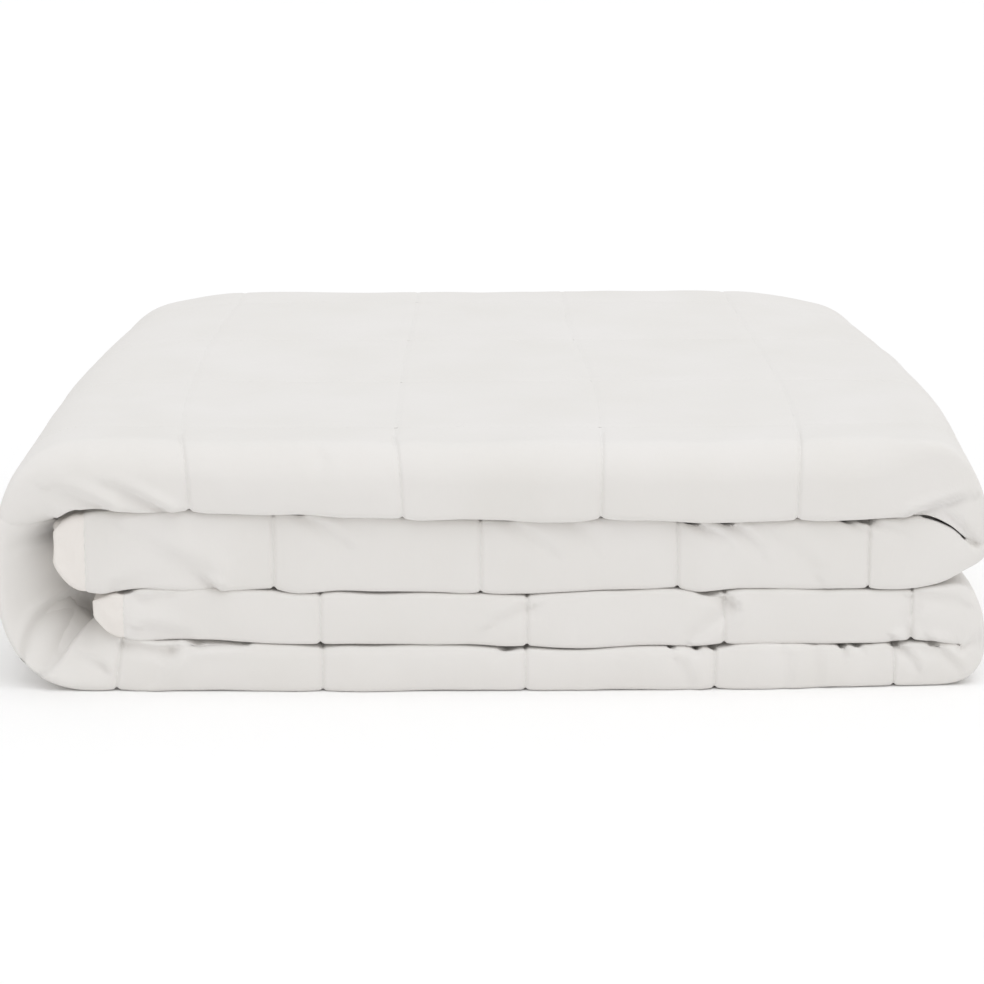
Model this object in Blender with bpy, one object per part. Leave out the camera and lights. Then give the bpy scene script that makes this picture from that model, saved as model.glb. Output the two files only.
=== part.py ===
"""A weighted blanket, quilted in squares and folded into a bundle, as one solid.

The cloth starts as a flat quilt: a grid, given its thickness, with every square crowned and every seam
drawn in. Two functions then fold it. The first folds it in four across its width, so that a smooth nose
faces -Y. The second folds that strip of four sheets along its length: both hemmed ends lie inside a big
turn at -X, between a band above and a band below, and two turns at +X join the four bands.

Metres, +Z up, the origin at the middle of the underside.
"""

import math
from typing import NamedTuple

import bmesh
import bpy

# The quilt, laid flat
SQUARE = 0.100  # side of one quilted square
SQUARES_LONG = 20  # squares between the two hems
SQUARES_WIDE = 15
END_HEM = 0.16  # hem past the first and last seam, in squares
SIDE_HEM = 0.12
SHOULDER = 0.15  # a seam's valley reaches this far on each side, in squares
SEAM_SHARE = 0.45  # thickness left at a seam, as a share of the thickness of a square
TURN_SHARE = 0.80  # the same for a square pressed into a turn

# The sheets of one band. Heights in a band run from -1, its inner side, to 1, its outer side.
SHEETS = 4
SHEET_GAP = 0.06
SHEET_THICK = (2 - (SHEETS - 1) * SHEET_GAP) / SHEETS
OUTER_SHEET = 1 - SHEET_THICK / 2
INNER_SHEET = OUTER_SHEET - SHEET_THICK - SHEET_GAP

FLAT_WIDE = SQUARES_WIDE + 2 * SIDE_HEM
SHORT_OF_QUARTER = 0.17  # the first fold across lies this far short of a quarter of the width
OUTER_NOSE = FLAT_WIDE / 4 - SIDE_HEM - SHORT_OF_QUARTER
BACK_FOLD = OUTER_NOSE + FLAT_WIDE / 4
INNER_NOSE = BACK_FOLD + FLAT_WIDE / 4

# The folds across the width
DEPTH = SQUARE * FLAT_WIDE / 4 + 0.004
NOSE_REACH = 0.016  # from the line where the nose starts to round, to its tip
BACK_REACH = 0.018  # the same for one unit of band height at the back
NOSE_SQUARENESS = 2.4
NOSE_TURN = 0.20  # half of the cloth in a nose, in squares
SMALL_TURN = 0.07  # half of the cloth in the inner nose and in the fold at the back
NOSE_STEPS = 6
SMALL_STEPS = 2
FRONT = -DEPTH / 2 + NOSE_REACH
BACK = DEPTH / 2 - BACK_REACH * (SHEET_THICK + SHEET_GAP)
FIRST_EDGE = BACK - 0.012  # the cloth's two side edges lie a little apart at the back
LAST_EDGE = BACK + 0.005

COTTON = "#E9E6E1"


class Run(NamedTuple):
    """A stretch of the strip that lies flat. Its seams are given by their places along X."""

    name: str
    low: float
    high: float
    up: int  # 1 where the strip's outer side faces up, -1 where it faces down
    first_seam: int
    seams: tuple


RUNS = (
    Run("second band", 0.0536, 0.0919, -1, 0, (-0.208, -0.112, -0.006, 0.095, 0.193)),
    Run("top band", 0.0939, 0.1307, 1, 6, (0.156, 0.055, -0.046, -0.154)),
    Run("bottom band", 0.0000, 0.0244, -1, 11, (-0.193, -0.087, 0.017, 0.114, 0.207)),
    Run("third band", 0.0254, 0.0525, 1, 16, (0.215, 0.119, 0.018, -0.088, -0.189)),
)


class Fold(NamedTuple):
    """A turn from one run to the next. Its seam lies at a share of the way round, if it has one."""

    name: str
    outer_tip: float
    inner_tip: float
    outer_round: float
    inner_round: float
    squareness: float
    lift: float  # how far the inner side stands off the band below it, just before the turn
    seam: float
    steps: int


FOLDS = (
    Fold("upper turn", 0.254, 0.241, 0.036, 0.001, 2.2, 0.000, 0.50, 8),
    Fold("big turn", -0.254, -0.231, 0.050, 0.022, 2.4, 0.009, 0.38, 10),
    Fold("lower turn", 0.254, 0.241, 0.025, 0.001, 2.4, 0.000, None, 6),
)
LIFT_LENGTH = 0.034  # the lift spreads this far on each side of the place where the inner side turns
HEM_TAPER = 0.40  # the four sheets come together by this share at a hemmed end


class Station(NamedTuple):
    """How far the bundle has settled at one depth, from 0 at the front to 1 at the back."""

    depth: float
    drop_left: float  # lowering of the top at the end of the bundle
    drop_right: float
    draw_left: float  # how far the end is drawn in
    draw_right: float


STATIONS = (
    Station(0.000, 0.000, 0.000, 0.000, 0.000),
    Station(0.349, 0.004, 0.002, 0.005, 0.003),
    Station(0.626, 0.009, 0.006, 0.012, 0.007),
    Station(1.000, 0.020, 0.017, 0.026, 0.017),
)
DROP_LENGTH = 0.100  # the top starts to fall this far from the end
BOW = 0.008  # the front stands this much further out at the middle than at the ends


def mix(start, end, share):
    return start + (end - start) * share


def arc(share, squareness):
    """A half turn of a rounded form: (how far out, how far along from 1 to -1), at a share of the way."""
    angle = math.pi * share
    out = abs(math.sin(angle)) ** (2 / squareness)
    along = math.copysign(abs(math.cos(angle)) ** (2 / squareness), math.cos(angle))
    return out, along


def height(run, level):
    return mix(run.low, run.high, (1 + run.up * level) / 2)


def fold_sides(fold, level):
    """The X of a fold's tip, and of the line where it starts to turn, for one level of the band."""
    share = (1 + level) / 2
    tip = mix(fold.inner_tip, fold.outer_tip, share)
    rounding = mix(fold.inner_round, fold.outer_round, share)
    return tip, tip - math.copysign(rounding, tip)


def lift(fold, x, level):
    """How far the inner side rises at X near the start of a turn, which thins the band there."""
    line = fold_sides(fold, -1)[1]
    away = min(abs(x - line) / LIFT_LENGTH, 1)
    return fold.lift * (1 - level) / 2 * math.cos(math.pi / 2 * away) ** 2


def fold_point(number, share, level):
    fold = FOLDS[number]
    before, after = height(RUNS[number], level), height(RUNS[number + 1], level)
    tip, start = fold_sides(fold, level)
    out, along = arc(share, fold.squareness)
    x = mix(start, tip, out)
    return x, mix(after, before, (1 + along) / 2) + lift(fold, x, level) * max(along, 0)


def fold_lengths(number):
    """Lengths of the flat lead-in, the turn and the flat lead-out of a fold, along its middle."""
    start = fold_sides(FOLDS[number], 0)[1]
    points = [fold_point(number, step / 60, 0) for step in range(61)]
    turn = sum(math.dist(a, b) for a, b in zip(points, points[1:]))
    return abs(start - RUNS[number].seams[-1]), turn, abs(start - RUNS[number + 1].seams[0])


LENGTHS = [fold_lengths(number) for number in range(len(FOLDS))]


def fold_knots(number):
    """Seam numbers and how far along the fold each lies."""
    lead_in, turn, lead_out = LENGTHS[number]
    knots = [(RUNS[number].first_seam + len(RUNS[number].seams) - 1, 0)]
    if FOLDS[number].seam is not None:
        knots.append((knots[0][0] + 1, lead_in + turn * FOLDS[number].seam))
    knots.append((RUNS[number + 1].first_seam, lead_in + turn + lead_out))
    return knots


def read_off(knots, value):
    """Straight-line reading of a short table of (place, value) pairs, carried on past its ends."""
    pairs = list(zip(knots, knots[1:]))
    for (a, at_a), (b, at_b) in pairs:
        if value <= b or (b, at_b) == knots[-1]:
            return mix(at_a, at_b, (value - a) / (b - a))


def past_seams(place):
    """How far a place lies in an end hem: 0 at the last seam, 1 at the edge."""
    return max(-place, place - SQUARES_LONG, 0) / END_HEM


def along_fold(place, level):
    """(x, z) in the bundle of a place along the quilt, in squares, at a level of the band."""
    level *= 1 - HEM_TAPER * past_seams(place)
    for number, run in enumerate(RUNS):
        last = run.first_seam + len(run.seams) - 1
        if place <= last or number == len(FOLDS):
            knots = list(zip(range(run.first_seam, last + 1), run.seams))
            return read_off(knots, place), height(run, level)
        if place < RUNS[number + 1].first_seam:
            return in_fold(number, place, level)


def in_fold(number, place, level):
    lead_in, turn, lead_out = LENGTHS[number]
    travelled = read_off(fold_knots(number), place)
    start = fold_sides(FOLDS[number], level)[1]
    before, after = RUNS[number], RUNS[number + 1]
    if travelled < lead_in:
        x = mix(before.seams[-1], start, travelled / lead_in)
        return x, height(before, level) + lift(FOLDS[number], x, level)
    if travelled > lead_in + turn:
        share = (travelled - lead_in - turn) / lead_out
        return mix(start, after.seams[0], share), height(after, level)
    return fold_point(number, (travelled - lead_in) / turn, level)


def across_fold(place, side):
    """(y, level in the band) of a place across the quilt, on side 1 or -1 of the sheet's middle.

    side may lie in between, where the sheet is thinner.
    """
    thick = SHEET_THICK / 2 * side
    turns = (
        (OUTER_NOSE, NOSE_TURN, FRONT, -NOSE_REACH, 0, -(OUTER_SHEET + thick), NOSE_SQUARENESS),
        (BACK_FOLD, SMALL_TURN, BACK, BACK_REACH, (OUTER_SHEET + INNER_SHEET) / 2,
         (OUTER_SHEET - INNER_SHEET) / 2 + thick, 2),
        (INNER_NOSE, SMALL_TURN, FRONT, -NOSE_REACH, 0, INNER_SHEET - thick, 2),
    )
    line = FIRST_EDGE
    line_place = -SIDE_HEM
    level = -(OUTER_SHEET + thick)
    for middle, half, at, reach, centre, radius, squareness in turns:
        if place < middle - half:
            return mix(line, at, (place - line_place) / (middle - half - line_place)), level
        if place <= middle + half:
            out, along = arc((place - middle + half) / (2 * half), squareness)
            return at + abs(radius) * reach * out, centre + radius * along
        line, line_place = at, middle + half
        level = centre - radius
    share = (place - line_place) / (SQUARES_WIDE + SIDE_HEM - line_place)
    return mix(line, LAST_EDGE, share), level


def crown(place, last_seam, shown=True):
    """Share of the full thickness at a place: low at a seam and at the hem, full on the square."""
    seam = min(max(round(place), 0), last_seam)
    if not shown and 0 < seam < last_seam:
        return 1
    away = min(abs(place - seam) / SHOULDER, 1)
    return SEAM_SHARE if place < 0 or place > last_seam else mix(SEAM_SHARE, 1, away)


def turn_span(number):
    """The places along the quilt where a turn starts and ends."""
    lead_in, turn, _ = LENGTHS[number]
    knots = [(travelled, place) for place, travelled in fold_knots(number)]
    return read_off(knots, lead_in), read_off(knots, lead_in + turn)


TURN_SPANS = [turn_span(number) for number in range(len(FOLDS))]


def pressed(place):
    """Share of the full thickness that a place keeps, lower in the turns."""
    return TURN_SHARE if any(start < place < end for start, end in TURN_SPANS) else 1


def settle(x, y, z):
    """The bundle at rest: lower and drawn in towards its back corners, its underside still flat."""
    depth = min(max((y - FRONT) / (BACK - FRONT), 0), 1)
    left = x < 0
    drops = [(row.depth, row.drop_left if left else row.drop_right) for row in STATIONS]
    draws = [(row.depth, row.draw_left if left else row.draw_right) for row in STATIONS]
    end = abs(FOLDS[1].outer_tip)
    near_end = max(0, (abs(x) - end + DROP_LENGTH) / DROP_LENGTH)
    fall = read_off(drops, depth) * near_end**2 * z / RUNS[1].high
    bow = BOW * (x / end) ** 2 * (1 - depth)
    return x * (1 - read_off(draws, depth) / end), y + bow, z - fall


def folded(long_place, wide_place, side):
    """The point of the bundle for a point of the flat quilt."""
    shown = OUTER_NOSE < wide_place < BACK_FOLD
    puff = min(crown(long_place, SQUARES_LONG), crown(wide_place, SQUARES_WIDE, shown))
    y, level = across_fold(wide_place, side * puff * pressed(long_place))
    x, z = along_fold(long_place, level)
    return settle(x, y, z)


def with_steps(places, start, end, steps, clear):
    """The places with the steps of a turn added, except where a line already lies that near."""
    kept = sorted(places)
    for step in range(steps + 1):
        place = mix(start, end, step / steps)
        if all(abs(place - other) > clear for other in kept):
            kept.append(place)
    return kept


def lines_along():
    """Where the quilt has a line of points along its length: seams, their shoulders and the folds."""
    places = [-END_HEM, 0, SHOULDER, SQUARES_LONG - SHOULDER, SQUARES_LONG, SQUARES_LONG + END_HEM]
    for seam in range(1, SQUARES_LONG):
        places += [seam - SHOULDER, seam, seam + SHOULDER]
    for fold, (start, end) in zip(FOLDS, TURN_SPANS):
        places = with_steps(places, start, end, fold.steps, 0.04)
    return sorted(places)


def lines_across():
    """The same across its width, where only the sheet that shows has its seams raised."""
    places = [-SIDE_HEM, SHOULDER, SQUARES_WIDE - SHOULDER, SQUARES_WIDE + SIDE_HEM]
    for seam in range(math.ceil(OUTER_NOSE), math.ceil(BACK_FOLD)):
        places += [seam, seam + SHOULDER]
        if seam - SHOULDER > OUTER_NOSE + NOSE_TURN:
            places.append(seam - SHOULDER)
    for middle, half, steps in (
        (OUTER_NOSE, NOSE_TURN, NOSE_STEPS),
        (BACK_FOLD, SMALL_TURN, SMALL_STEPS),
        (INNER_NOSE, SMALL_TURN, SMALL_STEPS),
    ):
        places = with_steps(places, middle - half, middle + half, steps, 0.01)
    sheets = (
        (-SIDE_HEM, OUTER_NOSE - NOSE_TURN),
        (INNER_NOSE - SMALL_TURN, BACK_FOLD + SMALL_TURN),
        (SQUARES_WIDE + SIDE_HEM, INNER_NOSE + SMALL_TURN),
    )
    for back, front in sheets:
        places += [mix(front, back, row.depth) for row in STATIONS[1:-1]]
    return sorted(places)


def linear(hex_colour):
    """An sRGB hex colour as linear RGBA."""
    values = [int(hex_colour[i : i + 2], 16) / 255 for i in (1, 3, 5)]
    return [v / 12.92 if v <= 0.04045 else ((v + 0.055) / 1.055) ** 2.4 for v in values] + [1]


def cotton():
    material = bpy.data.materials.new("woven cotton")
    material.use_nodes = True
    shader = material.node_tree.nodes["Principled BSDF"]
    shader.inputs["Base Color"].default_value = linear(COTTON)
    shader.inputs["Roughness"].default_value = 0.9
    shader.inputs["Metallic"].default_value = 0
    return material


def blanket(collection):
    """A grid of the flat quilt, extruded into a closed slab, with its points carried to the bundle."""
    along, across = lines_along(), lines_across()
    mesh = bmesh.new()
    bmesh.ops.create_grid(mesh, x_segments=len(along) - 1, y_segments=len(across) - 1, size=1)
    upper = set(mesh.verts)
    extruded = bmesh.ops.extrude_face_region(mesh, geom=mesh.faces[:])
    for vert in extruded["geom"]:
        if isinstance(vert, bmesh.types.BMVert):
            vert.co.z = -1
            upper.discard(vert)
    bmesh.ops.recalc_face_normals(mesh, faces=mesh.faces[:])
    for vert in mesh.verts:
        column = round((vert.co.x + 1) / 2 * (len(along) - 1))
        row = round((vert.co.y + 1) / 2 * (len(across) - 1))
        vert.co = folded(along[column], across[row], 1 if vert in upper else -1)
    bmesh.ops.triangulate(mesh, faces=mesh.faces[:])
    if mesh.calc_volume(signed=True) < 0:
        bmesh.ops.reverse_faces(mesh, faces=mesh.faces[:])
    data = bpy.data.meshes.new("blanket")
    mesh.to_mesh(data)
    mesh.free()
    data.materials.append(cotton())
    data.shade_smooth()
    collection.objects.link(bpy.data.objects.new("blanket", data))


def main():
    for old in list(bpy.data.objects):
        bpy.data.objects.remove(old)
    collection = bpy.data.collections.new("weighted blanket")
    bpy.context.scene.collection.children.link(collection)
    blanket(collection)


main()
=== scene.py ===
"""A folded weighted blanket: two woven cotton covers, quilted in squares, with their sewing.

The cloth is worked out as the quilt is: a flat piece, folded in four across its width, and that
strip folded along its length. Places on the flat quilt are in squares: "along" from 0 to 20 between
the two hemmed ends, "across" from 0 to 15 between the side hems. A level from -1 to 1 runs from the
inner to the outer side of a folded strip, and a side is 1 on the outer face of a sheet and -1 on
its inner face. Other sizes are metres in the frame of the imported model, or millimetres in the
tables that say so.
"""

import math
from typing import NamedTuple

import bpy
import numpy as np
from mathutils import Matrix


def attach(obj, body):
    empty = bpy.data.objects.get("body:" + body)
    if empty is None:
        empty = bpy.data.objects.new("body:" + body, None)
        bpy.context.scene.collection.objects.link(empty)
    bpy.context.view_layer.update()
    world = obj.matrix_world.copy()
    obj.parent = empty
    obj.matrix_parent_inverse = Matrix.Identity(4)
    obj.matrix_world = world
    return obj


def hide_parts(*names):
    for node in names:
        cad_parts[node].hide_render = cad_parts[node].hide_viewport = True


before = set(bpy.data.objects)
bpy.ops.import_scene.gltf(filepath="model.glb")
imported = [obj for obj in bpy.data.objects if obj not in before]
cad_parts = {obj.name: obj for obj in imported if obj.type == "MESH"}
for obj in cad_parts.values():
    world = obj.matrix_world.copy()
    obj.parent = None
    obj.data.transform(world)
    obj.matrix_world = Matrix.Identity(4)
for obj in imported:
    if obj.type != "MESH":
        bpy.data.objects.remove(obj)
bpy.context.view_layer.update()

MM = 0.001

# The quilt, laid flat
SQUARE = 0.100
SQUARES_LONG = 20
SQUARES_WIDE = 15
END_HEM = 0.16
SIDE_HEM = 0.12
SEAM_SHARE = 0.80  # thickness left beside a seam, as a share of the middle of a square
FLAT_SHARE = 0.96  # the same on top, where the beads' weight leaves the cloth flatter
END_SEAM_SHARE = 0.88  # the same where an end hem starts
HEM_SHARE = 0.48  # the same at the edges
SHOULDER = 0.15  # a square swells to its full thickness this far from the seam, in squares
SWELL = 2.6  # how quickly it swells beside the seam

# The four sheets of a folded strip
SHEETS = 4
SHEET_GAP = 0.06  # between two sheets, in levels
SHEET_THICK = (2 - (SHEETS - 1) * SHEET_GAP) / SHEETS
OUTER_SHEET = 1 - SHEET_THICK / 2
INNER_SHEET = OUTER_SHEET - SHEET_THICK - SHEET_GAP
INNER_SIDE = -0.96  # the inner cover lies just inside the hems that the outer one turns in
INNER_INSET = 0.02  # and ends this much before their edges, in squares
FLAT_WIDE = SQUARES_WIDE + 2 * SIDE_HEM
SHORT_OF_QUARTER = 0.17  # the outer nose lies this much before a quarter of the width
OUTER_NOSE = FLAT_WIDE / 4 - SIDE_HEM - SHORT_OF_QUARTER
BACK_FOLD = OUTER_NOSE + FLAT_WIDE / 4
INNER_NOSE = BACK_FOLD + FLAT_WIDE / 4
DEPTH = SQUARE * FLAT_WIDE / 4 + 0.004
NOSE_REACH = 0.016  # how far a nose stands out from the line where its turn starts
BACK_REACH = 0.018  # the same at the back fold, for a turn one strip high
NOSE_CORNER = 0.13  # radius of a nose's corners, as a share of half its height
TOP_CORNER = 1.0  # the upper corner of the top band's nose is rounder
TOP_BAND = (5.1, 10.0)  # the places along the quilt between which it is
TOP_BAND_BLEND = 0.6
NOSE_BULGE = 0.07  # how much the flat face of a nose swells, as a share of its reach
NOSE_TURN = 0.20  # half of the cloth that goes round the outer nose, in squares
SMALL_TURN = 0.07  # the same at the other two folds
FLAT_FROM, FLAT_BLEND = 0.2, 0.5  # the cloth lies flatter from here on behind the nose
BEND_BLEND = 0.12  # and just behind the nose on the outer side of the left bend
FRONT = -DEPTH / 2 + NOSE_REACH
BACK = DEPTH / 2 - BACK_REACH * (SHEET_THICK + SHEET_GAP)
FIRST_EDGE = BACK - 0.012  # where the side hems end at the back
LAST_EDGE = BACK + 0.005


class Run(NamedTuple):
    """A flat stretch of the strip: its seams lie along X, and up is 1 if its outer side is up."""

    low: float
    high: float
    up: int
    first_seam: int
    seams: tuple


RUNS = (
    Run(0.0530, 0.0926, -1, 0, (-0.2075, -0.1115, -0.006, 0.0945, 0.1925)),
    Run(0.0928, 0.1307, 1, 6, (0.1550, 0.0550, -0.0455, -0.1535)),
    Run(0.0000, 0.0248, -1, 11, (-0.1930, -0.0870, 0.0170, 0.1143, 0.2070)),
    Run(0.0250, 0.0528, 1, 16, (0.2155, 0.1190, 0.0178, -0.0880, -0.1885)),
)


class Fold(NamedTuple):
    """A turn from one run to the next.

    It has a tip and a rounding on its outer and on its inner side. lift is how far the cloth rises
    inside it, and seam is the share of the way round where a seam lies.
    """

    outer_tip: float
    inner_tip: float
    outer_round: float
    inner_round: float
    squareness: float
    lift: float
    seam: float


FOLDS = (
    Fold(0.254, 0.241, 0.036, 0.001, 2.2, 0.000, 0.50),
    Fold(-0.254, -0.231, 0.050, 0.022, 2.4, 0.003, 0.38),
    Fold(0.254, 0.241, 0.025, 0.001, 2.4, 0.000, None),
)
LIFT_LENGTH = 0.034  # the cloth rises over this length inside a turn


class HemEnd(NamedTuple):
    """A hemmed end: how far its four sheets come together, and how far their middle rises."""

    seam: int
    taper: float
    raise_level: float


HEM_ENDS = (HemEnd(0, 0.50, -0.16), HemEnd(SQUARES_LONG, 0.50, 0.28))
HEM_ROUNDING = 3.2  # how late the sheets come together in the hem

# How far the bundle has settled: depth from 0 at the front to 1 at the back, then the lowering of
# the top and the drawing in of the end, each at the left and at the right
STATIONS = (
    (0.000, 0.000, 0.000, 0.000, 0.000),
    (0.349, 0.004, 0.002, 0.008, 0.003),
    (0.626, 0.010, 0.007, 0.014, 0.009),
    (1.000, 0.021, 0.020, 0.027, 0.020),
)
DROP_LENGTH = 0.100  # the top is lowered over this length at each end
BOW = 0.008  # the front stands this much further back at its ends
END = 0.254

# The three creases between the bands, at the front: their height, then how far they rise and fall
# along X, all in millimetres
CREASE_PLACES = (
    -254, -222, -200, -180, -159, -139, -118, -98, -77, -57, -37, -16, 4, 24, 45, 65,
    86, 106, 127, 148, 168, 189, 209, 222, 233, 246, 254,
)  # fmt: skip
CREASES = (
    (24.9, (0, 0, 3.4, 1.0, 1.7, 1.8, 0.3, -0.1, -0.1, -0.1, -0.1, -0.2, -1.3, -1.5, -2.1, -1.3,
            -0.9, -1.2, -1.5, -1.8, -2.1, -1.4, -0.8, -1.2, -1.8, -4.3, -4.3)),
    (53.0, (0, 0, -1.6, 1.2, 0.9, 1.0, 1.1, -1.0, 0.1, -0.4, -0.4, -1.0, -1.6, -1.2, -0.8, 0.1,
            1.0, -1.4, 0.5, 0.2, -0.2, -0.5, -0.9, 0.2, 1.5, 4.8, 4.8)),
    (92.6, (0, 0, 2.3, 2.9, 3.3, 2.2, 2.2, 2.9, 1.3, 0.8, -0.8, -0.8, -0.9, -1.5, -1.1, -0.8,
            -1.5, -2.8, -3.0, -2.8, -3.1, -3.4, -2.2, -1.6, -6.5, -16.2, -17.0)),
)  # fmt: skip
TOP = 130.7

# How far the front of the strip stands back, in millimetres, at places along the quilt
RECESS = (
    (0, 4), (4, 4), (5.2, 1.5), (6, 0), (9.5, 0), (10.5, 1), (11.2, 3), (15.2, 3.5), (16.4, 4.5),
    (20, 4.5),
)  # fmt: skip
RECESS_DEPTH = 0.060  # it has died down this far behind the front

# How far the inner side of the left bend is pushed right, up and back, in millimetres, at places
# along the quilt
BEND_FILLING = (
    (9.50, 0, 0, 0), (9.75, 2, 2, 4), (9.95, 6, 12, 12), (10.05, 8, 15, 24), (10.2, 12, 10, 36),
    (10.4, 18, 8, 42), (10.6, 22, 8, 36), (10.8, 15, 8, 20), (11.0, 4, 3, 6), (11.2, 0, 0, 0),
)  # fmt: skip
BEND_SEAM = 10  # the seam in the left bend
BEND_EDGE = 0.75  # the level at which the bend starts to fall back
BEND_PUSH, BEND_BACK = 1.5, 1.3  # how steeply it grows inwards: sideways and up, then backwards
BEND_DEPTH = 0.120  # it has died down this far behind the front
CREASE_DEPTH = 0.150  # the rise and fall have died down this far behind the front

# How far four seams of the top band wander from a straight line along X, in millimetres, from the
# front to the back
WANDER_DEPTHS = (0, 0.25, 0.5, 0.75, 1)
WANDERS = (
    (6, (2, 4, 3, 2, 1)),
    (7, (1, 2.4, 0, -4.5, -3.6)),
    (8, (-4.5, -3.7, -2.8, 0, 2.2)),
    (9, (-5, -11, -12, -10, -6)),
)
WANDER_FROM, WANDER_BLEND = 0.15, 0.5  # it starts this far before the middle of the nose


class Tuck(NamedTuple):
    """A crease or a swelling across the front, drawn as a line.

    It lies between two places along the quilt. The line's points are X and Z in millimetres, and so
    are the depths at its two ends and its width. A depth below 0 is a swelling. ridge is the height
    of the fold of cloth beside it, as a share of its depth: on the left of the line's way where it
    is above 0. On its other side the crease is this many times softer.
    """

    squares: tuple
    line: tuple
    depths: tuple
    width: float
    ridge: float
    soft: float = 2.0


TUCKS = (
    # top band, at the left bend
    Tuck((8.8, 10.1), ((-222, 108), (-209, 103), (-197, 97)), (1.4, 5.5), 3.0, 0.5),
    Tuck((8.6, 9.95), ((-192, 110), (-180, 104), (-166, 96)), (1.2, 6.0), 2.2, 0.5),
    Tuck((7.4, 8.9), ((-86, 124), (-87, 111)), (1.0, 0.3), 3.0, 0.5),
    Tuck((7.0, 8.9), ((-150, 108), (-60, 106)), (-1.0, -0.8), 9.0, 0.0),
    # left bend
    Tuck((9.5, 11.0), ((-240, 22), (-237, 34), (-232, 43), (-225, 49), (-216, 53), (-204, 54)),
         (3.5, 9.5), 1.6, 0.3, 4.5),
    Tuck((9.5, 11.1), ((-229, 13), (-223, 21), (-219, 28), (-213, 37), (-207, 44), (-203, 51)),
         (3.5, 10.5), 1.6, -0.3, 4.5),
    Tuck((9.5, 11.0), ((-217, 22), (-210, 19), (-200, 14)), (0.8, 2.0), 2.0, 0.6),
    Tuck((9.5, 10.6), ((-244, 77), (-236, 81), (-223, 86)), (1.2, 4.5), 1.6, -0.3),
    # second band
    Tuck((-0.2, 1.4), ((-183, 84), (-164, 71), (-149, 63)), (1.0, 2.2), 5.0, 0.7),
    Tuck((-0.2, 1.4), ((-150, 62), (-141, 55)), (1.0, 3.5), 1.8, 0.5),
    Tuck((-0.2, 1.2), ((-175, 62), (-192, 55)), (0.4, 2.6), 3.4, -0.5),
    Tuck((0.8, 2.4), ((-98, 97), (-90, 91), (-76, 81)), (2.6, 1.2), 2.4, 0.6),
    Tuck((1.8, 3.2), ((5, 96), (14, 87), (28, 77)), (2.0, 0.9), 2.8, 0.6),
    Tuck((1.8, 3.2), ((38, 96), (50, 80)), (2.0, 0.6), 3.2, 0.5),
    Tuck((2.8, 4.4), ((99, 95), (106, 89), (120, 80)), (5.5, 0.8), 1.7, 0.7),
    Tuck((2.8, 4.4), ((117, 95), (124, 88), (137, 74)), (4.5, 0.6), 2.2, 0.7),
    Tuck((3.4, 4.9), ((177, 95), (192, 84)), (4.0, 0.6), 1.3, 0.5),
    Tuck((3.4, 4.9), ((188, 93), (198, 89), (210, 84)), (3.0, 0.5), 1.5, 0.5),
    Tuck((3.4, 5.4), ((221, 95), (235, 90), (247, 77)), (3.0, 2.4), 2.2, 0.0),
    Tuck((4.4, 6.4), ((215, 92), (223, 95), (232, 98), (243, 102)), (5.5, 0.8), 2.2, 0.35, 2.4),
    Tuck((3.0, 4.4), ((150, 78), (163, 64)), (0.8, 1.2), 5.0, 0.5),
    # third band
    Tuck((16.8, 18.2), ((121, 43), (104, 29)), (2.2, 2.0), 2.8, 0.6),
    Tuck((16.8, 17.5), ((108, 54), (114, 52), (121, 48)), (2.0, 3.5), 2.2, 0.4),
    Tuck((15.4, 16.8), ((219, 50), (238, 47)), (1.6, 1.0), 3.0, 0.5),
    Tuck((15.8, 16.3), ((217, 42), (213, 38), (215, 28)), (1.0, 1.8), 1.8, 0.5),
    Tuck((18.8, 20.1), ((-176, 34), (-158, 30)), (1.8, 1.0), 3.2, 0.6),
    Tuck((18.8, 20.2), ((-186, 56), (-180, 50), (-168, 52)), (1.8, 1.4), 2.4, 0.4),
    Tuck((17.6, 18.6), ((2, 37), (17, 44)), (1.2, 1.6), 2.8, 0.5),
    # bottom band
    Tuck((13.4, 15.0), ((91, 26), (94, 22)), (3.0, 0.4), 1.1, 0.0),
    Tuck((13.4, 15.0), ((105, 26), (106, 19)), (4.0, 0.5), 1.2, 0.4),
    Tuck((13.4, 15.0), ((112, 26), (115, 22)), (3.5, 0.4), 1.1, 0.0),
    Tuck((13.4, 15.0), ((97, 14), (102, 5)), (1.0, 1.2), 3.0, 0.5),
    Tuck((14.4, 15.6), ((180, 26), (182, 17)), (3.2, 0.8), 1.1, 0.4),
    Tuck((14.4, 15.6), ((188, 26), (191, 20)), (2.0, 0.4), 1.4, 0.3),
    Tuck((14.8, 16.2), ((208, 26), (218, 14)), (3.2, 1.4), 1.8, 0.6),
    Tuck((14.8, 16.2), ((212, 24), (226, 20)), (1.5, 0.6), 2.0, 0.4),
    Tuck((14.8, 16.2), ((228, 25), (241, 11)), (3.0, 0.8), 1.8, 0.6),
    Tuck((14.8, 16.4), ((226, 26), (233, 24), (242, 22), (250, 28)), (0.8, 2.0), 1.4, 0.0),
    Tuck((11.0, 14.9), ((-140, 25), (120, 24)), (0.9, 0.9), 3.5, 0.0),
    Tuck((12.4, 13.2), ((8, 27), (1, 17)), (2.3, 0.6), 2.0, -0.5),
    Tuck((10.9, 12.2), ((-187, 27), (-166, 23), (-150, 27)), (3.6, 2.0), 2.4, 0.4),
    Tuck((10.9, 12.2), ((-164, 22), (-175, 5)), (2.4, 1.0), 2.4, 0.6),
    Tuck((11.2, 12.4), ((-150, 26), (-126, 27)), (2.6, 1.6), 2.2, -0.4),
    Tuck((13.9, 15.2), ((151, 19), (152, 5)), (0.8, 0.8), 2.6, 0.6),
    Tuck((13.9, 15.2), ((167, 21), (168, 4)), (1.0, 0.8), 2.6, 0.6),
)
NOSE_FACE = -0.188  # the tucks are drawn on this plane, along Y
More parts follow.
